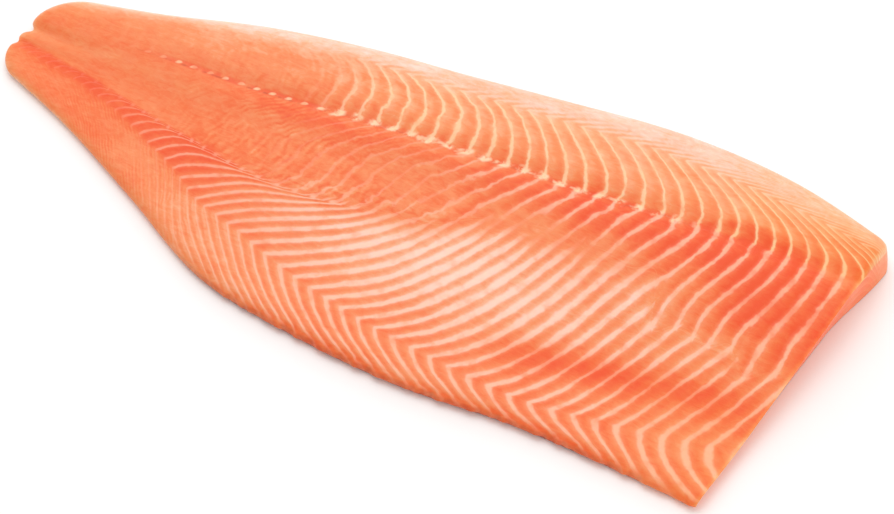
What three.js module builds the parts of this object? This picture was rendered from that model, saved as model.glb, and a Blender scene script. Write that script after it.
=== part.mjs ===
// A whole skinless side of raw salmon, flesh side up, lying flat.
//
// Frame: millimetres, +Z up. The origin lies under the middle of the fillet, in the plane it
// rests on. -X is the tail end, +X the knife cut behind the head, +Y the thick back edge and
// -Y the thin belly flap.

import * as THREE from 'three';

const { clamp, smoothstep } = THREE.MathUtils;

// ---- driving dimensions ----

const LENGTH = 600;
const HALF_LENGTH = LENGTH / 2;

// Values at equal steps from the tail end to the cut.
const BACK_EDGE = [39, 58.5, 82.5, 98, 107.5, 118, 127.5, 125.5, 108];
const BELLY_EDGE = [-32, -55.5, -86, -118, -127, -127.3, -118.5, -116.5, -118];
const LOIN_THICKNESS = [10, 14, 19, 23, 26.5, 29, 30, 29, 26];
const FLAP_THICKNESS = [8, 8, 8.5, 9, 9, 9, 8.5, 8, 7];
const PIN_BONE_ROW = [12, 18, 22, 27.5, 35, 41, 48.5, 56.5, 62.5];

// Shares of the width between which the flap swells into the loin.
const FLAP_ENDS = 0.1;
const LOIN_STARTS = 0.8;

// The tail end: two round corners and, between its three lobes, two notches.
const TAIL_BACK_CORNER = 26;
const TAIL_BELLY_CORNER = 18;
const TAIL_NOTCHES = [
  { y: 4, depth: 5, reach: 3.8, furrow: 2.5, furrowLength: 85 },
  { y: -9.5, depth: 2.5, reach: 3, furrow: 1.5, furrowLength: 65 },
];

// The knife cut: where its top edge meets the belly and the back, how far it bows out between
// them, and its round back corner. Its foot is set in under the top edge, and comes out past it
// towards the back, between two shares of the width.
const CUT_AT_BELLY = 264.5;
const CUT_AT_BACK = 297.5;
const CUT_BOW = 1;
const CUT_BACK_CORNER = 13;
const CUT_UNDERCUT = 3;
const CUT_FOOT_OUT = 4;
const FOOT_TURNS = 0.65;
const FOOT_OUT = 0.95;

// The other sides: height of their rim, how far in from it the top rounds over, and how far
// the underside is tucked in.
const RIM_HEIGHT = 4;
const BELLY_ROUND = 11;
const BACK_ROUND = 22;
const TAIL_ROUND = 14;
const TUCK = 1.5;

// Furrows along the flesh: the row of pin bones, and the shallow bed that the backbone left.
const PIN_BONE_FURROW = 2;
const PIN_BONE_REACH = 8;
const PIN_BONE_FROM = -230;
const PIN_BONE_FULL = -120;
const SPINE_BED = 2.2;
const SPINE_BED_REACH = 20;
const SPINE_BED_OFFSET = 28;
const SPINE_BED_FULL = 20;
const SPINE_BED_ENDS = 140;

// Facets along the length, across the width and up the sides, closer together at the rims.
const STEPS_ALONG = 72;
const STEPS_ACROSS = 28;
const STEPS_UP = 3;
const CROWDING = 0.7;

// ---- form ----

// A value at place x along the length, on a smooth curve through equally spaced values.
function along(values, x) {
  const last = values.length - 1;
  const place = clamp((x + HALF_LENGTH) / LENGTH, 0, 1) * last;
  const step = Math.min(Math.floor(place), last - 1);
  const t = place - step;
  const before = step > 0 ? values[step - 1] : 2 * values[0] - values[1];
  const after = step + 2 <= last ? values[step + 2] : 2 * values[last] - values[last - 1];
  const from = values[step];
  const to = values[step + 1];
  const bend = 2 * before - 5 * from + 4 * to - after;
  const twist = 3 * (from - to) + after - before;
  return from + 0.5 * t * (to - before + t * (bend + t * twist));
}

// A quarter round: 0 at a rim, 1 from one radius in.
function quarterRound(distance, radius) {
  const left = 1 - clamp(distance / radius, 0, 1);
  return Math.sqrt(1 - left * left);
}

// A soft groove across `offset`, 1 in its middle.
function groove(offset, reach) {
  return Math.exp(-((offset / reach) ** 2));
}

function crowdedTowardsEnds(t) {
  return t - (CROWDING * Math.sin(2 * Math.PI * t)) / (2 * Math.PI);
}

// Where the tail end lies at share `across` of its width, belly to back.
function tailEnd(across) {
  const width = BACK_EDGE[0] - BELLY_EDGE[0];
  const y = BELLY_EDGE[0] + across * width;
  let x = -HALF_LENGTH;
  x += TAIL_BACK_CORNER * (1 - quarterRound((1 - across) * width, TAIL_BACK_CORNER));
  x += TAIL_BELLY_CORNER * (1 - quarterRound(across * width, TAIL_BELLY_CORNER));
  for (const notch of TAIL_NOTCHES) {
    x += notch.depth * groove(y - notch.y, notch.reach);
  }
  return x;
}

// Where the cut lies at share `across` of its width, belly to back.
function cutEnd(across) {
  const width = BACK_EDGE.at(-1) - BELLY_EDGE.at(-1);
  const corner = CUT_BACK_CORNER * (1 - quarterRound((1 - across) * width, CUT_BACK_CORNER));
  const bow = CUT_BOW * 4 * across * (1 - across);
  return CUT_AT_BELLY + (CUT_AT_BACK - CUT_AT_BELLY) * across + bow - corner;
}

// How far the foot of the cut stands out past its top edge.
function cutFoot(across) {
  return (CUT_UNDERCUT + CUT_FOOT_OUT) * smoothstep(across, FOOT_TURNS, FOOT_OUT) - CUT_UNDERCUT;
}

// Height of the flesh away from the rims.
function thickness(x, y, across) {
  const flap = along(FLAP_THICKNESS, x);
  const loin = along(LOIN_THICKNESS, x);
  let height = flap + (loin - flap) * smoothstep(across, FLAP_ENDS, LOIN_STARTS);

  const fromPinBones = y - along(PIN_BONE_ROW, x);
  const rowGrows = smoothstep(x, PIN_BONE_FROM, PIN_BONE_FULL);
  height -= PIN_BONE_FURROW * rowGrows * groove(fromPinBones, PIN_BONE_REACH);

  const bedFades = 1 - smoothstep(x, SPINE_BED_FULL, SPINE_BED_ENDS);
  height -= SPINE_BED * bedFades * groove(fromPinBones + SPINE_BED_OFFSET, SPINE_BED_REACH);

  for (const notch of TAIL_NOTCHES) {
    const fades = 1 - smoothstep(x, -HALF_LENGTH, -HALF_LENGTH + notch.furrowLength);
    height -= notch.furrow * fades * groove(y - notch.y, 1.6 * notch.reach);
  }
  return height;
}

// Maps a unit box onto the fillet: u from the tail to the cut, v from the belly to the back
// and w from the underside to the top.
function place(u, v, w) {
  const tail = tailEnd(v);
  const cut = cutEnd(v);
  const under = 1 - w;
  const tuck = TUCK * under * under;
  let x = tail + u * (cut - tail);
  const belly = along(BELLY_EDGE, x);
  const back = along(BACK_EDGE, x);
  let y = belly + v * (back - belly);

  const rounding =
    quarterRound(y - belly, BELLY_ROUND) *
    quarterRound(back - y, BACK_ROUND) *
    quarterRound(x - tail, TAIL_ROUND);
  const top = RIM_HEIGHT + (thickness(x, y, v) - RIM_HEIGHT) * rounding;

  x += tuck * (1 - u) + cutFoot(v) * under * u;
  y += tuck * (1 - 2 * v);
  return [x, y, w * top];
}

function filletGeometry() {
  const geometry = new THREE.BoxGeometry(1, 1, 1, STEPS_ALONG, STEPS_ACROSS, STEPS_UP);
  const points = geometry.attributes.position;
  for (let i = 0; i < points.count; i += 1) {
    const u = crowdedTowardsEnds(points.getX(i) + 0.5);
    const v = crowdedTowardsEnds(points.getY(i) + 0.5);
    const w = points.getZ(i) + 0.5;
    points.setXYZ(i, ...place(u, v, w));
  }
  geometry.computeVertexNormals();
  return geometry;
}

// ---- the fillet ----

const flesh = new THREE.MeshStandardMaterial({ color: 0xff8f5e, roughness: 0.4, metalness: 0 });

const fillet = new THREE.Mesh(filletGeometry(), flesh);
fillet.name = 'fillet';

const salmonSide = new THREE.Group();
salmonSide.add(fillet);

export default salmonSide;
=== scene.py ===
"""A whole side of raw salmon, skinless and flesh side up, on a pale table in soft studio light."""

import math

import bmesh
import bpy
import numpy as np
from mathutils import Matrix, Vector


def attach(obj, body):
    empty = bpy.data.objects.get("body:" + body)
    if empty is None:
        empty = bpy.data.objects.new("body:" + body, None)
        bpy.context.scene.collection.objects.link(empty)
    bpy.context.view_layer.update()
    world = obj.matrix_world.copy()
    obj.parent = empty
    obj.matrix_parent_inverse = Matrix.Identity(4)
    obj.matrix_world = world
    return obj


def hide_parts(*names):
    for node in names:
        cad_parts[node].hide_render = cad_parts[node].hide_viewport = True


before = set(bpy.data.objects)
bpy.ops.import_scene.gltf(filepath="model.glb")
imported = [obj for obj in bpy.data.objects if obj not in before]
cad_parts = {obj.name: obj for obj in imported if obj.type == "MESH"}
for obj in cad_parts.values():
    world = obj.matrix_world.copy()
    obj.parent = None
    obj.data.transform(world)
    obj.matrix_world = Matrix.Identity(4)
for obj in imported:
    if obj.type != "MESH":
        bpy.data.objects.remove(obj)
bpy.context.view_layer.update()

# ---- fillet: the form ----
# One side of a salmon, cut off the backbone, skinned and trimmed, with the head end cut off
# straight. It is solid flesh with nothing joined to it, lying flat on its skin side. Sizes are
# in millimetres, and lists hold values at equal steps from the tail end to the cut.

MM = 0.001
LENGTH = 600
BACK_EDGE = [39, 58.5, 82.5, 98, 107.5, 118, 127.5, 125.5, 108]
BELLY_EDGE = [-32, -55.5, -86, -118, -127, -127.3, -118.5, -116.5, -118]
LOIN_THICKNESS = [10, 14, 19, 23, 26.5, 29, 30, 29, 26]
FLAP_THICKNESS = [8, 8, 8.5, 9, 9, 9, 8.5, 8, 7]
FLAP_ENDS, LOIN_STARTS = 0.1, 0.8  # shares of the width

PIN_BONE_ROW = [12, 18, 22, 27.5, 35, 41, 48.5, 56.5, 62.5]
PIN_BONE_FURROW, PIN_BONE_REACH = 2, 8
PIN_BONE_FROM, PIN_BONE_FULL = -230, -120
SPINE_BED, SPINE_BED_REACH, SPINE_BED_OFFSET = 2.2, 20, 28
SPINE_BED_FULL, SPINE_BED_ENDS = 20, 140

TAIL_BACK_CORNER, TAIL_BELLY_CORNER = 26, 18
TAIL_NOTCHES = [  # place across, depth, reach, furrow depth, furrow length
    (4, 5, 3.8, 2.5, 85),
    (-9.5, 2.5, 3, 1.5, 65),
]
NOTCH_FURROW_WIDENS = 1.6
CUT_AT_BELLY, CUT_AT_BACK, CUT_BOW, CUT_BACK_CORNER = 264.5, 297.5, 1, 13
CUT_UNDERCUT, CUT_FOOT_OUT, FOOT_TURNS, FOOT_OUT = 3, 4, 0.65, 0.95
CUT_EDGE_DROP, CUT_EDGE_ROUND = 7, 8
RIM_HEIGHT, TUCK = 4, 1.5
BELLY_ROUND, BACK_ROUND, TAIL_ROUND = 11, 22, 14


def along(values, x):
    """A value at x along the length, on a smooth curve through equally spaced values."""
    v = np.array([2 * values[0] - values[1], *values, 2 * values[-1] - values[-2]], float)
    place = np.clip((x + LENGTH / 2) / LENGTH, 0, 1) * (len(values) - 1)
    step = np.minimum(place.astype(int), len(values) - 2)
    t = place - step
    before, start, end, after = v[step], v[step + 1], v[step + 2], v[step + 3]
    bend = 2 * before - 5 * start + 4 * end - after
    twist = 3 * (start - end) + after - before
    return start + 0.5 * t * (end - before + t * (bend + t * twist))


def count(values, x):
    """As along, but going on past both ends at the same pace."""
    first, last = values[1] - values[0], values[-1] - values[-2]
    before, past = np.minimum(x + LENGTH / 2, 0), np.maximum(x - LENGTH / 2, 0)
    return along(values, x) + (first * before + last * past) * (len(values) - 1) / LENGTH


def ramp(x, start, end):
    """0 before start, 1 after end, and smooth between."""
    t = np.clip((x - start) / (end - start), 0, 1)
    return t * t * (3 - 2 * t)


def between(x, begins, full, leaves, ends):
    """0 up to begins, 1 from full to leaves, and 0 again from ends on."""
    return ramp(x, begins, full) * (1 - ramp(x, leaves, ends))


def quarter_round(distance, radius):
    """0 at a rim, 1 from one radius in."""
    return np.sqrt(1 - (1 - np.clip(distance / radius, 0, 1)) ** 2)


def groove(offset, reach):
    """A soft bump across offset, 1 in its middle."""
    return np.exp(-((offset / reach) ** 2))


def tail_end(across):
    width = BACK_EDGE[0] - BELLY_EDGE[0]
    y = BELLY_EDGE[0] + across * width
    x = -LENGTH / 2 + TAIL_BACK_CORNER * (
        1 - quarter_round((1 - across) * width, TAIL_BACK_CORNER)
    )
    x += TAIL_BELLY_CORNER * (1 - quarter_round(across * width, TAIL_BELLY_CORNER))
    for notch_y, depth, reach, _, _ in TAIL_NOTCHES:
        x += depth * groove(y - notch_y, reach)
    return x


def cut_end(across):
    width = BACK_EDGE[-1] - BELLY_EDGE[-1]
    corner = CUT_BACK_CORNER * (1 - quarter_round((1 - across) * width, CUT_BACK_CORNER))
    bow = CUT_BOW * 4 * across * (1 - across)
    return CUT_AT_BELLY + (CUT_AT_BACK - CUT_AT_BELLY) * across + bow - corner


def cut_foot(across):
    """How far the foot of the cut stands out past its top edge."""
    return (CUT_UNDERCUT + CUT_FOOT_OUT) * ramp(across, FOOT_TURNS, FOOT_OUT) - CUT_UNDERCUT


def thickness(x, y, across):
    """Height of the flesh away from the rims, with the furrows of the pin bones and backbone."""
    flap, loin = along(FLAP_THICKNESS, x), along(LOIN_THICKNESS, x)
    height = flap + (loin - flap) * ramp(across, FLAP_ENDS, LOIN_STARTS)
    from_pins = y - along(PIN_BONE_ROW, x)
    row_grows = ramp(x, PIN_BONE_FROM, PIN_BONE_FULL)
    height -= PIN_BONE_FURROW * row_grows * groove(from_pins, PIN_BONE_REACH)
    bed_fades = 1 - ramp(x, SPINE_BED_FULL, SPINE_BED_ENDS)
    height -= SPINE_BED * bed_fades * groove(from_pins + SPINE_BED_OFFSET, SPINE_BED_REACH)
    for notch_y, _, reach, furrow, length in TAIL_NOTCHES:
        fades = 1 - ramp(x, -LENGTH / 2, -LENGTH / 2 + length)
        height -= furrow * fades * groove(y - notch_y, NOTCH_FURROW_WIDENS * reach)
    return height


def place_on_fillet(u, v, w):
    """Unit box to fillet: u from tail to cut, v from belly to back, w from underside to top.

    Gives x and y, the height of the top there, how far that has rounded up from the rims, from
    0 to 1, and how far the point is tucked in or stands out along x and y.
    """
    tail, cut = tail_end(v), cut_end(v)
    x = tail + u * (cut - tail)
    belly, back = along(BELLY_EDGE, x), along(BACK_EDGE, x)
    y = belly + v * (back - belly)
    rounding = (
        quarter_round(y - belly, BELLY_ROUND)
        * quarter_round(back - y, BACK_ROUND)
        * quarter_round(x - tail, TAIL_ROUND)
    )
    top = RIM_HEIGHT + (thickness(x, y, v) - RIM_HEIGHT) * rounding
    under = 1 - w
    tuck = TUCK * under**2
    tuck_x = tuck * (1 - u) + cut_foot(v) * under * u
    tuck_y = tuck * (1 - 2 * v)
    return x, y, top, rounding, tuck_x, tuck_y


CUTS_ALONG, CUTS_ACROSS, CUTS_UP = 54, 39, 2
CROWDING = 0.35  # how much closer together the facets stand at the rims

bpy.ops.object.select_all(action="DESELECT")
bpy.ops.mesh.primitive_cube_add(size=1, location=(0, 0, 0))
fillet = bpy.context.object
fillet.name = fillet.data.name = "salmon_side"
bpy.ops.object.mode_set(mode="EDIT")


def cut_up(cuts, axis=None):
    """Cuts every edge along one axis, or with no axis every face but those underneath."""
    bm = bmesh.from_edit_mesh(fillet.data)
    bpy.ops.mesh.select_all(action="DESELECT")
    if axis is None:
        bpy.ops.mesh.select_mode(type="FACE")
        for face in bm.faces:
            face.select_set(face.calc_center_median().z > -0.499)
    else:
        bpy.ops.mesh.select_mode(type="EDGE")
        for edge in bm.edges:
            run = edge.verts[1].co - edge.verts[0].co
            edge.select_set(abs(run[axis]) > 0.5 * run.length)
    bmesh.update_edit_mesh(fillet.data)
    bpy.ops.mesh.subdivide(number_cuts=cuts)


# Evenly at first, and then finer everywhere but underneath.
cut_up(CUTS_ALONG, axis=0)
cut_up(CUTS_ACROSS, axis=1)
cut_up(CUTS_UP, axis=2)
cut_up(1, axis=0)
cut_up(3)
bpy.ops.object.mode_set(mode="OBJECT")

points = np.empty(len(fillet.data.vertices) * 3)
fillet.data.vertices.foreach_get("co", points)
u, v, w = np.clip(points.reshape(-1, 3).T + 0.5, 0, 1)
u = u - CROWDING * np.sin(2 * np.pi * u) / (2 * np.pi)
v = v - CROWDING * np.sin(2 * np.pi * v) / (2 * np.pi)
x, y, top, rounding, tuck_x, tuck_y = place_on_fillet(u, v, w)

# ---- fillet: the sheets of fat in the flesh ----
# A fillet's muscle lies in flakes with a thin sheet of fat between each two. The sheets run from
# the belly edge in zigzags to the back edge, turning at rows that run the length of the fish.
# Loin sheets are counted along the pin bones, and flap sheets along the row where they turn.

TURN_UNDER_BACK = [30, 48, 62, 75, 80.5, 88, 95, 94.5, 87]
TURN_IN_FLAP = [-15, -25, -50, -78, -96, -103, -103, -86, -66]
LOIN_MEETS_FLAP = [-6, -16, -28.5, -37, -27, 2, 9, -21, -16]
MEETING_WANDERS = [  # where along, reach, how far
    (38, 20, -8),
    (177, 9, 13),
    (193, 9, -16),
    (238, 8, 8),
    (255, 8, -7),
]
LOIN_SHEETS = [0, 6.5, 12.6, 18.85, 24.6, 30.3, 36.1, 42.25, 48.75]
FLAP_SHEETS = [0, 9, 17.5, 25.5, 31.6, 37.4, 43, 48.7, 54.2]

# How far the loin's sheets sweep towards the tail on their way up to the turn under the back,
# and how far the sheets lean along the fillet elsewhere, for each millimetre across.
LOIN_SWEEP = [20, 22, 24, 26, 29, 35, 38, 46, 46]
LOIN_SWEEP_POWER = [4, 4, 4, 4, 3.6, 1.8, 2.1, 2.5, 2.6]
LOIN_LEAN = [1.2, 1.2, 1.3, 1.3, 1.2, 0.64, 0.42, 0.42, 0.06]
LOIN_STEEPENS = [0.9, 0.9, 0.9, 0.9, 0.85, 0.15, 0, 0, 0]
BACK_LEAN = [2.7, 2.7, 2.7, 2.7, 2.7, 2.9, 3.4, 4.6, 6]
FLAP_LEAN = [0.5, 0.55, 0.62, 1.0, 1.12, 0.7, 0.44, 0.55, 0.45]
FLAP_BEND = [0, 0, 0, 0, 3, 12, 13.5, 1, 0]
FLAP_BEND_REACH = 20
BELLY_LEAN = [2.0, 1.7, 1.0, 1.0, 0.75, 0.5, 0.42, 0.12, 0.1]
BELLY_CURL = [0, 0, 0.002, 0.008, 0.03, 0.05, 0.08, 0.025, 0.022]
BED_TURN, BED_TURN_SOFTNESS = 26, 30  # how far below the pin bones the loin sheets steepen
HOOK, HOOK_REACH = 8, 5  # how the loin sheets bend to the tail just above the flap
DEPTH_LEAN = 1.5  # how far towards the cut, for each millimetre down

pins = along(PIN_BONE_ROW, x)
back_turn = along(TURN_UNDER_BACK, x)
flap_turn = along(TURN_IN_FLAP, x) - 4.3 * groove(x + 108, 22)
meeting = along(LOIN_MEETS_FLAP, x)
for where, reach, how_far in MEETING_WANDERS:
    meeting += how_far * groove(x - where, reach)
deep = (1 - w) * top * DEPTH_LEAN


def loin_count(y):
    """The loin sheet at each point, counted along the pin bones, with whole numbers in fat."""
    rise = np.clip((y - pins) / (back_turn - pins), 0, 1)
    shift = -along(LOIN_SWEEP, x) * rise ** along(LOIN_SWEEP_POWER, x)
    shift += along(BACK_LEAN, x) * np.maximum(y - back_turn, 0)
    below = np.maximum(pins - y, 0)
    past_turn = below - BED_TURN
    past_turn = (past_turn + np.sqrt(past_turn**2 + BED_TURN_SOFTNESS)) / 2
    run = below - along(LOIN_STEEPENS, x) * past_turn
    # Towards the cut they swing over in a soft S instead.
    run += ramp(x, 145, 195) * (42 * ramp(below, 4, 66) - run)
    hook = np.exp(-np.maximum(y - meeting, 0) / HOOK_REACH) * between(x, -160, -90, 10, 50)
    return count(LOIN_SHEETS, x - shift + along(LOIN_LEAN, x) * run + HOOK * hook - deep)


def flap_count(y):
    """The flap sheet at each point, counted along the row where they turn."""
    up, down = np.maximum(y - flap_turn, 0), np.maximum(flap_turn - y, 0)
    shift = along(FLAP_LEAN, x) * up
    shift += along(FLAP_BEND, x) * (1 - np.exp(-up / FLAP_BEND_REACH))
    # In the tail half they bend over towards the cut just below the loin.
    near = np.clip(up / np.maximum(meeting - flap_turn, 5), 0, 0.97)
    shift += 7 * (1 - ramp(x, -60, 10)) * (1 / np.sqrt(1 - near**2) - 1)
    shift += along(BELLY_LEAN, x) * down + along(BELLY_CURL, x) * down**2
    return count(FLAP_SHEETS, x - shift - deep)


# Where the two meet, each sheet bends over to the nearest one, and a sheet that is left half-way
# between two others fades out.
apart = 2 * np.pi * (flap_count(meeting) - loin_count(meeting))
mismatch = np.arctan2(0.8 * np.sin(apart), 1 + 0.8 * np.cos(apart)) / np.pi
half_way = np.abs(np.angle(np.exp(1j * apart))) / np.pi
below_seam = meeting - y
joined = 0.5 * mismatch * groove(below_seam, 17) * ramp(x, 0, 50)
loin_number = loin_count(y) + joined
flap_number = flap_count(y) - joined

# The bands between the rows, each 1 inside and 0 outside.
above_pins = y - pins
from_belly = y - along(BELLY_EDGE, x)
from_cut = cut_end(v) - x
in_flap = ramp(below_seam, -1.5, 1.5)
in_back = ramp(y - back_turn, -4, 8)
in_loin = ramp(above_pins, -1, 1) * (1 - in_back)
in_belly = ramp(flap_turn - y, -2, 2)
in_bed = (1 - in_flap) * (1 - ramp(above_pins, -1, 1))
in_lobe = in_flap * (1 - in_belly)
unmatched = ramp(half_way, 0.4, 0.85) * groove(below_seam, 13) * ramp(x, 20, 70)
unmatched *= 0.4 + 0.6 * in_flap
# A painted highlight along the top edge of the cut.
cut_edge_highlight = (1 - ramp(from_cut, 0.6, 3)) * ramp(w, 0.98, 1)
belly_rim = (1 - ramp(from_belly, 1.5, 6)) * between(x, -90, -30, 180, 250)

# Milky flesh in the thick of the flap, fattier and made paler still as a painted sheen, a deep
# orange streak under it towards the cut, a bare patch behind the ribs, and lean red flesh along
# the pin bones that widens towards the cut.
streak = groove(y + 63 - 0.22 * (x - 186), 12) * ramp(x, 90, 140)
streak *= 1 - 0.5 * ramp(x, 245, 275)
thinner = in_lobe * ramp(x, 180, 215) * ramp(-y, 48, 62)
milky_fat_and_sheen = groove(x - 62, 135) * groove(y + 42, 42) * in_lobe * ramp(below_seam, -4, 14)
milky_fat_and_sheen = np.maximum(milky_fat_and_sheen, groove(x - 172, 30) * groove(y + 14, 17) * 0.8)
milky_fat_and_sheen *= 1 - 0.85 * streak
bare = groove(x - 98, 22) * groove(y - 4, 9)
lean_top = pins + 2.5 * ramp(x, 160, 200) - 16 * ramp(x, 258, 285)
lean_bottom = pins - 26 - 36 * ramp(x, 195, 250) + 12 * (1 - ramp(x, 0, 90))
lean_share = (lean_top - y) / (lean_top - lean_bottom)
lean = ramp(x, 40, 150) * (0.82 + 0.16 * ramp(x, 165, 215) - 0.2 * ramp(x, 240, 290))
lean += 0.28 * between(x, -150, -60, 40, 150)
# Whiter fat in the milky flesh, with its painted sheen, and in the back band.
white_fat_and_sheen = np.maximum(milky_fat_and_sheen, 0.8 * in_back)

# How strongly each sheet shows, from 0 to 1. They grow from the tail on, and are faint in the
# back band, in the bare patch, in the streak and where they meet unmatched.
fat = in_loin * (0.03 + 0.87 * ramp(x, -95, -45))
fat_in_back = 0.06 + 0.24 * ramp(x, -70, 120) - 0.16 * ramp(x, 190, 250)
fat += in_back * fat_in_back * (1 - 0.6 * ramp(y - back_turn, 4, 15))
fat += in_bed * (0.26 * ramp(x, -110, -30) + 0.56 * ramp(x, 0, 75))
fat += 0.3 * in_bed * groove(below_seam + 7, 7) * between(x, -75, -45, 30, 70)
fat += in_lobe * (0.13 + 0.45 * ramp(x, -240, -110) + 0.36 * ramp(x, -90, 0))
fat += in_belly * (0.04 + 0.81 * ramp(x, -180, -10)) * (0.2 + 0.8 * ramp(from_belly, 1, 6))
fat *= (1 - 0.9 * unmatched) * (1 - 0.95 * bare) * (1 - 0.55 * streak) * (1 - 0.25 * thinner)
fat *= 1 - 0.6 * in_bed * groove(x - 20, 38) * groove(above_pins + 34, 12)
fat *= 1 - 0.45 * groove(below_seam - 1, 11) * between(x, -40, 20, 165, 190)
fat *= 1 - 0.5 * groove(above_pins + 39, 9) * ramp(x, 205, 240)

# Half the width of a sheet, as a share of the way to the next one.
fat_width = 0.11 - 0.022 * in_loin * ramp(x, 20, 90) + 0.12 * in_back
fat_width += 0.015 * in_bed * ramp(x, 40, 120) + 0.05 * in_lobe * ramp(x, -160, -60)
fat_width += 0.06 * in_belly * ramp(x, -100, 0)
fat_width += 0.13 * milky_fat_and_sheen * (1 - 0.6 * ramp(x, 140, 180))
fat_width += 0.01 * ramp(x, 200, 235) * groove(above_pins + 15, 14)
fat_width -= 0.07 * streak + 0.02 * thinner

# How pale the flesh is between the sheets, from 0 for deep red to 1 for milky: first the loin and
# the back, then the bed below the pin bones, then the flap with a painted sheen on its milky
# flesh, and last the rims, with a painted highlight along the cut's top edge and a painted glow on
# the rims towards the tail.
tail_shift = 7 * (1 - ramp(x, -240, -150))
pale = 0.33 + 0.05 * ramp(above_pins, -8, 8)
pale += 0.14 * ramp(above_pins, 4, 26) + 0.08 * ramp(above_pins, 0, 14) * ramp(x, -90, 0)
pale -= 0.07 * ramp(x, 190, 280) * ramp(above_pins, -4, 10)
pale += 0.03 * in_loin * groove(x - 230, 30)
pale -= 0.05 * in_loin * (groove(x + 135, 30) + ramp(x, 250, 280))
pale += (0.36 - 0.11 * ramp(x, -90, 40)) * ramp(y - back_turn - tail_shift, -14, 10)
pale += in_back * (0.035 * groove(x - 122, 45) - 0.04 * groove(x - 5, 50))
pale -= 0.035 * in_back * ramp(x, 175, 210)

pale += 0.1 * groove(above_pins + 14, 6) * (1 - ramp(x, -170, -60))
pale -= 0.12 * groove(above_pins + 12, 8) * groove(x + 60, 100)
pale += in_bed * (0.07 * groove(x, 70) + 0.03 * groove(x - 85, 30))
pale += 0.16 * groove(below_seam - 1, 8) * groove(x - 228, 26)

red_lobe = in_flap * (1 - ramp(flap_turn - y, -5, 9)) * (1 - ramp(x, -150, -50))
# Paler in the milky flesh, partly as a painted sheen.
pale += 0.32 * milky_fat_and_sheen + 0.05 * bare - 0.25 * (red_lobe + streak)
pale += 0.07 * groove(x - 230, 32) * groove(y + 15, 15)
pale += 0.04 * groove(x - 150, 25) * groove(y - 5, 9)
pale += 0.03 * in_lobe * ramp(x, 140, 200) - 0.06 * in_flap * groove(x + 215, 45)
pale += in_belly * (0.2 * groove(x + 80, 75) + 0.06 * groove(x + 170, 60))
pale += in_belly * (0.05 * ramp(x, 0, 80) + 0.03 * groove(x - 70, 90))

# A painted highlight along the cut's top edge, and darker along the belly rim.
pale += 0.2 * cut_edge_highlight - 0.14 * belly_rim
# A painted glow: towards the tail the rims are paler, as if light shone through the thin flesh.
pale += 0.4 * (1 - rounding) * (1 - ramp(x, -250, -130))

# How yellow the orange is, and yellow too in the painted highlight along the cut's top edge.
golden = ramp(x, 150, 290) * (0.35 + 0.65 * ramp(np.abs(above_pins + 55), 45, 62))
golden += 0.35 * (1 - ramp(x, -290, -230)) + 0.3 * streak + 0.8 * cut_edge_highlight - 0.4 * belly_rim

# How much the sheets waver and the flesh is blotched, and how feathery its strokes are.
restless = 0.6 + 2.5 * belly_rim + 1.3 * in_back
restless += 2 * in_bed * groove(below_seam + 6, 8) * between(x, -80, -50, 30, 70)
restless += 3 * groove(above_pins + 3, 9) * between(x, 60, 110, 215, 250)
restless += 0.9 * in_flap * (1 - ramp(x, -210, -130))
restless += 2.3 * in_bed * between(x, -210, -110, 40, 90)
restless += 1.5 * in_loin * between(x, -240, -130, 0, 100)
feathery = (0.5 * in_loin + 1.2 * in_bed) * between(x, -200, -90, -70, 50)
feathery += 0.6 * in_back * ramp(x, 120, 220)
feathery += 0.7 * in_belly * between(x, -290, -200, -110, -40)

# The pin-bone row, the face of the cut, and the foot of the belly edge, brown fat with painted
# shade.
pin_dots = ramp(w, 0.4, 0.8) * between(x, -235, -165, -75, -55)
knots = ramp(w, 0.4, 0.8) * between(x, -85, -60, 160, 200)
at_cut = u > 0.99999
on_cut = at_cut * (1 - ramp(w, 0.97, 1)) * (1 - 0.6 * ramp(w, 0.5, 1) * ramp(v, 0.7, 0.95))
# The foot of the belly edge: partly brown fat, partly painted shade where the edge meets the
# table.
brown_foot_and_shade = (1 - ramp(from_belly, 0.2, 2)) * (1 - 0.55 * ramp(w, 0.4, 0.95))
brown_foot_and_shade = (brown_foot_and_shade + 0.03 * belly_rim) * between(x, -120, -60, 190, 262)

# The flakes swell a little between the sheets, the flesh rolls softly, the cut's top edge drops
# towards its back corner, and the belly edge is frayed.
FLAKE_RELIEF, CUT_FACE_RELIEF, FRAYING = 0.3, 0.25, 0.8
number = np.where(in_flap > 0.5, flap_number, loin_number)
bulge = 0.5 - 0.5 * np.cos(2 * np.pi * number)
relief = FLAKE_RELIEF * fat * bulge
relief += 0.4 * np.sin(x / 31 + 1.3) * np.sin(y / 27 + 0.7) + 0.15 * np.sin(x / 13 + y / 17)
rolled_over = 1 - quarter_round(from_cut, CUT_EDGE_ROUND)
top -= CUT_EDGE_DROP * ramp(v, 0.74, 0.97) * rolled_over * rounding
z = w * (top + relief * rounding**2)
cut_bulge = CUT_FACE_RELIEF * bulge * np.sin(np.pi * w)
x_out = x + tuck_x + np.where(at_cut & (w < 0.999), cut_bulge, 0)
frayed = np.sin(x / 1.9 + 2 * np.sin(x / 7)) * np.sin(x / 4.3 + 1) + 0.6 * np.sin(x / 3.1 + 0.5)
y_out = y + tuck_y - FRAYING * frayed * (1 - ramp(from_belly, 0, 5)) * ramp(x, -90, -30) * w
fillet.data.vertices.foreach_set("co", (np.stack([x_out, y_out, z], 1) * MM).ravel())


def keep_on_flesh(name, *values):
    """Stores three values on every point of the fillet, for its material."""
    kept = fillet.data.attributes.new(name, "FLOAT_VECTOR", "POINT")
    kept.data.foreach_set("vector", np.stack(np.broadcast_arrays(*values), 1).ravel())


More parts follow.
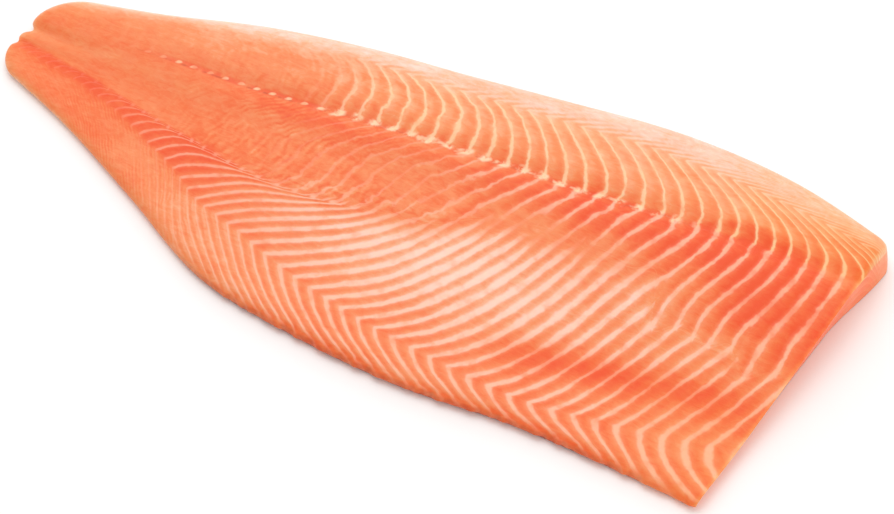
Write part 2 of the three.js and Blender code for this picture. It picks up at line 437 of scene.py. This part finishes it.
keep_on_flesh("sheet_numbers", loin_number, flap_number, np.clip(below_seam, -30, 30))
keep_on_flesh("fat_sheets", fat, fat_width, in_loin * ramp(x, -120, -20))
keep_on_flesh("flesh_tones", pale, white_fat_and_sheen, golden)
keep_on_flesh("lean_flesh", lean, np.clip(lean_share, -1, 3), restless)
keep_on_flesh("pin_bones", above_pins, pin_dots, knots)
keep_on_flesh("edges", on_cut, brown_foot_and_shade, feathery)
fillet.data.update()

bpy.ops.object.mode_set(mode="EDIT")
bpy.ops.mesh.select_all(action="SELECT")
bpy.ops.mesh.normals_make_consistent(inside=False)
bpy.ops.object.mode_set(mode="OBJECT")
bpy.ops.object.shade_smooth_by_angle(angle=math.radians(38))

# ---- fillet: the raw flesh ----
# Wet, slightly see-through orange muscle, redder where it is lean and milkier where fat runs
# through it, with cream sheets of fat, fine fibres, and a thin film of moisture. In places, sheen,
# highlights, glow and shade are painted into its colour.

FLESH_FROM_LEAN_TO_MILKY = [
    (237, 84, 34),
    (240, 113, 58),
    (242, 143, 90),
    (244, 176, 137),
    (244, 210, 193),
]
PINK_FAT, CREAM_FAT, MILKY_FAT = (253, 190, 160), (253, 205, 160), (254, 215, 197)
YELLOW_TINT = (255, 250, 214)
SLIT_RED, CRACK_BROWN = (240, 88, 48), (206, 84, 44)
PIN_DOT_CREAM, KNOT_CREAM = (254, 204, 160), (253, 212, 172)
# The foot's colour is brown fat and painted shade in one.
CUT_FLESH, FOOT_BROWN_AND_SHADE = (253, 137, 96), (164, 60, 34)

flesh = bpy.data.materials.new("raw_salmon_flesh")
flesh.use_nodes = True
flesh_nodes, flesh_links = flesh.node_tree.nodes, flesh.node_tree.links
flesh_nodes.clear()


def put(kind, inputs, **settings):
    """Adds a node to the flesh, each input given a value or another node's output."""
    node = flesh_nodes.new(kind)
    for name, value in settings.items():
        setattr(node, name, value)
    for socket, value in inputs.items():
        if isinstance(value, bpy.types.NodeSocket):
            flesh_links.new(value, node.inputs[socket])
        else:
            node.inputs[socket].default_value = value
    return node


def reckon(operation, a, b=0.0, c=0.0):
    return put("ShaderNodeMath", {0: a, 1: b, 2: c}, operation=operation).outputs[0]


def times(*values):
    product = values[0]
    for value in values[1:]:
        product = reckon("MULTIPLY", product, value)
    return product


def plus(start, *parts):
    """Start with parts added to it, each a pair of a value and its share."""
    total = start
    for value, share in parts:
        total = reckon("MULTIPLY_ADD", value, share, total)
    return total


def fade(value, start, end, low=0.0, high=1.0):
    """Smoothly from low, where value is at start, to high, where it is at end."""
    inputs = {"Value": value, "From Min": start, "From Max": end, "To Min": low, "To Max": high}
    return put("ShaderNodeMapRange", inputs, interpolation_type="SMOOTHSTEP").outputs[0]


def from_whole(number):
    """How far a number is from the nearest whole one, from 0 to 0.5."""
    shifted = reckon("FRACT", reckon("ADD", number, 0.5))
    return reckon("ABSOLUTE", reckon("SUBTRACT", shifted, 0.5))


def srgb(red, green, blue):
    """A colour from 0 to 255 as the shader's linear one."""
    steps = (value / 255 for value in (red, green, blue))
    linear = (s / 12.92 if s <= 0.04045 else ((s + 0.055) / 1.055) ** 2.4 for s in steps)
    return (*linear, 1)


def blend_colours(share, a, b, blend_type="MIX"):
    """Share of b over a, each a colour from 0 to 255 or another node's output."""
    a, b = (srgb(*colour) if isinstance(colour, tuple) else colour for colour in (a, b))
    inputs = {"Factor": share, 6: a, 7: b}
    return put("ShaderNodeMix", inputs, data_type="RGBA", blend_type=blend_type).outputs[2]


def three_values(name):
    kept = put("ShaderNodeAttribute", {}, attribute_name=name)
    return put("ShaderNodeSeparateXYZ", {0: kept.outputs["Vector"]}).outputs


def cloudy(scale, detail=2.0, stretch=(1, 1, 1), distortion=0.0, roughness=0.5):
    """Noise from -0.5 to 0.5, scale in lumps per metre."""
    spot = put("ShaderNodeTexCoord", {}).outputs["Object"]
    spot = put("ShaderNodeMapping", {"Vector": spot, "Scale": stretch}).outputs[0]
    inputs = {"Vector": spot, "Scale": scale, "Detail": detail, "Distortion": distortion}
    inputs["Roughness"] = roughness
    return reckon("SUBTRACT", put("ShaderNodeTexNoise", inputs).outputs["Fac"], 0.5)


loin_no, flap_no, past_seam = three_values("sheet_numbers")
fat_strength, fat_half, creaminess = three_values("fat_sheets")
paleness, milkiness_and_sheen, gold = three_values("flesh_tones")
leanness, lean_depth, unrest = three_values("lean_flesh")
over_pins, dot_strength, knot_strength = three_values("pin_bones")
cut_face, foot_colour_and_shade, feathering = three_values("edges")

# The sheets of fat, wavering, uneven in width and broken here and there.
waver = times(cloudy(24), 0.3)
waver = plus(waver, (times(cloudy(85, detail=3), unrest), 0.3), (cloudy(240), 0.14))
half_width = times(fat_half, plus(1.0, (cloudy(70, detail=3), 1.4)))


def fat_line(number):
    """1 in the middle of each sheet of fat, falling off to 0 in the flesh between."""
    away = from_whole(reckon("ADD", number, waver))
    core = fade(away, times(half_width, 1.3), times(half_width, 0.45))
    halo = fade(away, times(half_width, 2.6), 0.0)
    return plus(times(halo, 0.3), (core, 0.7))


loin_line = times(fat_line(loin_no), fade(past_seam, 4, 1))
flap_line = times(fat_line(flap_no), fade(past_seam, -4, -1))
broken = fade(cloudy(110, detail=4), -0.26, 0.04, 0.45, 1.0)
line = times(reckon("MAXIMUM", loin_line, flap_line), broken, fat_strength)
line = times(line, plus(1.0, (cut_face, -0.7)))

# The flesh between them, mottled, speckled and fibrous, with painted shade and light beside each
# sheet.
flap_share = fade(past_seam, -1.5, 1.5)
sheet_no = put("ShaderNodeMix", {"Factor": flap_share, 2: loin_no, 3: flap_no}).outputs[0]
# Painted shade and light: each flake darker on one side of its sheet and lighter on the other, as
# if the sheets stood up in ridges.
darkest = plus(0.68, (flap_share, -0.33))
turn = times(reckon("SUBTRACT", reckon("ADD", sheet_no, waver), darkest), 2 * math.pi)
ridge_light_and_shade = times(reckon("COSINE", turn), fade(fat_strength, 0.1, 0.5))
mottle = cloudy(34, detail=5, stretch=(0.7, 1.3, 1), roughness=0.6)
speckle = cloudy(230, detail=4, stretch=(0.55, 1, 1), distortion=0.8, roughness=0.65)
fibres = cloudy(430, detail=3, stretch=(0.14, 1, 1), distortion=0.8)
stroke = reckon("ADD", times(sheet_no, 2), times(cloudy(70, detail=3), 2.2))
stroke = reckon("SINE", times(stroke, 2 * math.pi))
stroke = times(stroke, feathering, fade(cloudy(90, detail=3), -0.12, 0.12))
blotches = times(cloudy(120, detail=4, stretch=(0.8, 1.2, 1), distortion=1.0), unrest)
ragged = plus(lean_depth, (cloudy(55, detail=4, stretch=(0.6, 1, 1)), 1.1))
lean_band = times(fade(ragged, -0.2, 0.12), fade(ragged, 1.45, 0.6), leanness)
tone = plus(paleness, (mottle, 0.42), (speckle, 0.42), (fibres, 0.2), (ridge_light_and_shade, -0.07))
tone = plus(tone, (stroke, 0.09), (blotches, 0.17), (lean_band, -0.3))

tones = put("ShaderNodeValToRGB", {"Fac": tone})
tone_stops = tones.color_ramp.elements
while len(tone_stops) < len(FLESH_FROM_LEAN_TO_MILKY):
    tone_stops.new(0.5)
for step, shade in enumerate(FLESH_FROM_LEAN_TO_MILKY):
    tone_stops[step].position = step / (len(FLESH_FROM_LEAN_TO_MILKY) - 1)
    tone_stops[step].color = srgb(*shade)
yellowish = plus(times(creaminess, 0.3), (cloudy(45, detail=3), 0.9), (gold, 0.7))
colour = blend_colours(yellowish, tones.outputs["Color"], YELLOW_TINT, blend_type="MULTIPLY")

fat_colour = blend_colours(creaminess, PINK_FAT, CREAM_FAT)
# Milkier fat where the milky flesh carries its painted sheen.
fat_colour = blend_colours(milkiness_and_sheen, fat_colour, MILKY_FAT)
fat_colour = blend_colours(times(gold, 0.5), fat_colour, YELLOW_TINT, blend_type="MULTIPLY")

# The pin-bone row: round dots towards the tail, and on from there a torn slit with cracks in it
# and knots of fat along it.
dot_place = from_whole(reckon("ADD", loin_no, times(cloudy(95), 0.25)))
along_row = reckon("POWER", times(dot_place, 10), 2)
from_dot = reckon("SQRT", reckon("ADD", along_row, reckon("POWER", times(over_pins, 1.4), 2)))
dots = times(fade(from_dot, 2.5, 1.0), dot_strength)
dots = times(dots, fade(cloudy(90), -0.15, 0.12, 0.3, 0.9))
wandering = plus(over_pins, (times(cloudy(75, detail=3), knot_strength), 10))
from_row = reckon("ABSOLUTE", wandering)
slit_share = reckon("MAXIMUM", dot_strength, times(knot_strength, 0.5))
slit = times(fade(from_row, 3.4, 1.0), slit_share)
slit = times(slit, fade(cloudy(120, detail=3), -0.2, 0.12), 0.7)
crack = fade(reckon("ABSOLUTE", reckon("ADD", wandering, 1.0)), 1.1, 0.2)
crack = times(crack, fade(dot_place, 0.08, 0.25), slit_share)
crack = times(crack, fade(cloudy(160), -0.08, 0.12), 0.65)
knot = times(fade(from_row, 3.4, 1.1), fade(dot_place, 0.38, 0.1))
knot = times(knot, fade(cloudy(230, detail=3), -0.14, 0.06), knot_strength)
link = times(fade(from_row, 1.9, 0.5), fade(cloudy(130), -0.05, 0.15), knot_strength, 0.7)
# The foot of the belly edge, brown fat and painted shade.
foot = times(foot_colour_and_shade, fade(cloudy(240, detail=3), -0.15, 0.12, 0.45, 0.95))

for share, shade in (
    (line, fat_colour),
    (slit, SLIT_RED),
    (crack, CRACK_BROWN),
    (dots, PIN_DOT_CREAM),
    (reckon("MAXIMUM", knot, link), KNOT_CREAM),
    (times(cut_face, 0.65), CUT_FLESH),
    (foot, FOOT_BROWN_AND_SHADE),
):
    colour = blend_colours(share, colour, shade)

gloss = fade(cloudy(70, detail=4), -0.3, 0.3, 0.3, 0.46)
lumps = plus(times(speckle, 0.5), (fibres, 0.35), (line, 0.6))
lumps = plus(lumps, (reckon("MAXIMUM", dots, knot), 0.6), (slit, -0.8))
bump = put("ShaderNodeBump", {"Height": lumps, "Strength": 0.6, "Distance": 0.0006})

shader = put(
    "ShaderNodeBsdfPrincipled",
    {
        "Base Color": colour,
        "Roughness": gloss,
        "Normal": bump.outputs[0],
        "IOR": 1.34,
        "Subsurface Weight": 0.25,
        "Subsurface Radius": (1.0, 0.35, 0.15),
        "Subsurface Scale": 0.004,
    },
)
put("ShaderNodeOutputMaterial", {"Surface": shader.outputs[0]})
fillet.data.materials.clear()
fillet.data.materials.append(flesh)

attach(fillet, "root")
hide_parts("fillet")

# ---- table, light and camera ----
# A plain white table top, a big soft light high behind the fish, an even surround, and a camera
# looking down on it from the cut end's side.

bpy.ops.object.select_all(action="DESELECT")
bpy.ops.mesh.primitive_plane_add(size=8, location=(0, 0, -0.0005))
table = bpy.context.object
table.name = "table_top"
white = bpy.data.materials.new("white_table")
white.use_nodes = True
white_paint = white.node_tree.nodes["Principled BSDF"].inputs
white_paint["Base Color"].default_value = (0.97, 0.97, 0.97, 1)
white_paint["Roughness"].default_value = 0.6
table.data.materials.append(white)

surround = bpy.data.worlds.new("studio")
bpy.context.scene.world = surround
surround.use_nodes = True
surround_light = surround.node_tree.nodes["Background"].inputs
surround_light["Color"].default_value = (1, 1, 1, 1)
surround_light["Strength"].default_value = 0.66


def soft_light(name, direction, distance, size, power):
    """A rectangular soft light, aimed at the middle of the fish."""
    light = bpy.data.lights.new(name, "AREA")
    light.shape = "RECTANGLE"
    light.size, light.size_y = size
    light.energy = power
    lamp = bpy.data.objects.new(name, light)
    bpy.context.scene.collection.objects.link(lamp)
    way = Vector(direction).normalized()
    lamp.location = way * distance
    lamp.rotation_euler = way.to_track_quat("Z", "Y").to_euler()
    return lamp


soft_light("overhead_light", (-0.29, 0.32, 0.9), 3.2, (3.4, 2.8), 48)
soft_light("back_light", (-0.3, 0.9, 0.38), 2.5, (2.5, 1.0), 13)
fill = soft_light("warm_fill", (0.9, -0.25, 0.35), 1.6, (1.2, 0.7), 5)
fill.data.color = (1, 0.62, 0.45)

AZIMUTH, ELEVATION = math.radians(29), math.radians(53)
AIM = Vector((0.0521, -0.0267, 0))
DISTANCE, FIELD_OF_VIEW = 1.1362, math.radians(28)
SENSOR_WIDTH = 36
camera = bpy.data.objects.new("camera", bpy.data.cameras.new("camera"))
bpy.context.scene.collection.objects.link(camera)
back = Vector(
    (
        math.sin(AZIMUTH) * math.cos(ELEVATION),
        -math.cos(AZIMUTH) * math.cos(ELEVATION),
        math.sin(ELEVATION),
    )
)
camera.location = AIM + back * DISTANCE
camera.rotation_euler = back.to_track_quat("Z", "Y").to_euler()
camera.data.sensor_width = SENSOR_WIDTH
camera.data.lens = SENSOR_WIDTH / 2 / math.tan(FIELD_OF_VIEW / 2)
bpy.context.scene.camera = camera
bpy.context.scene.view_settings.view_transform = "Standard"
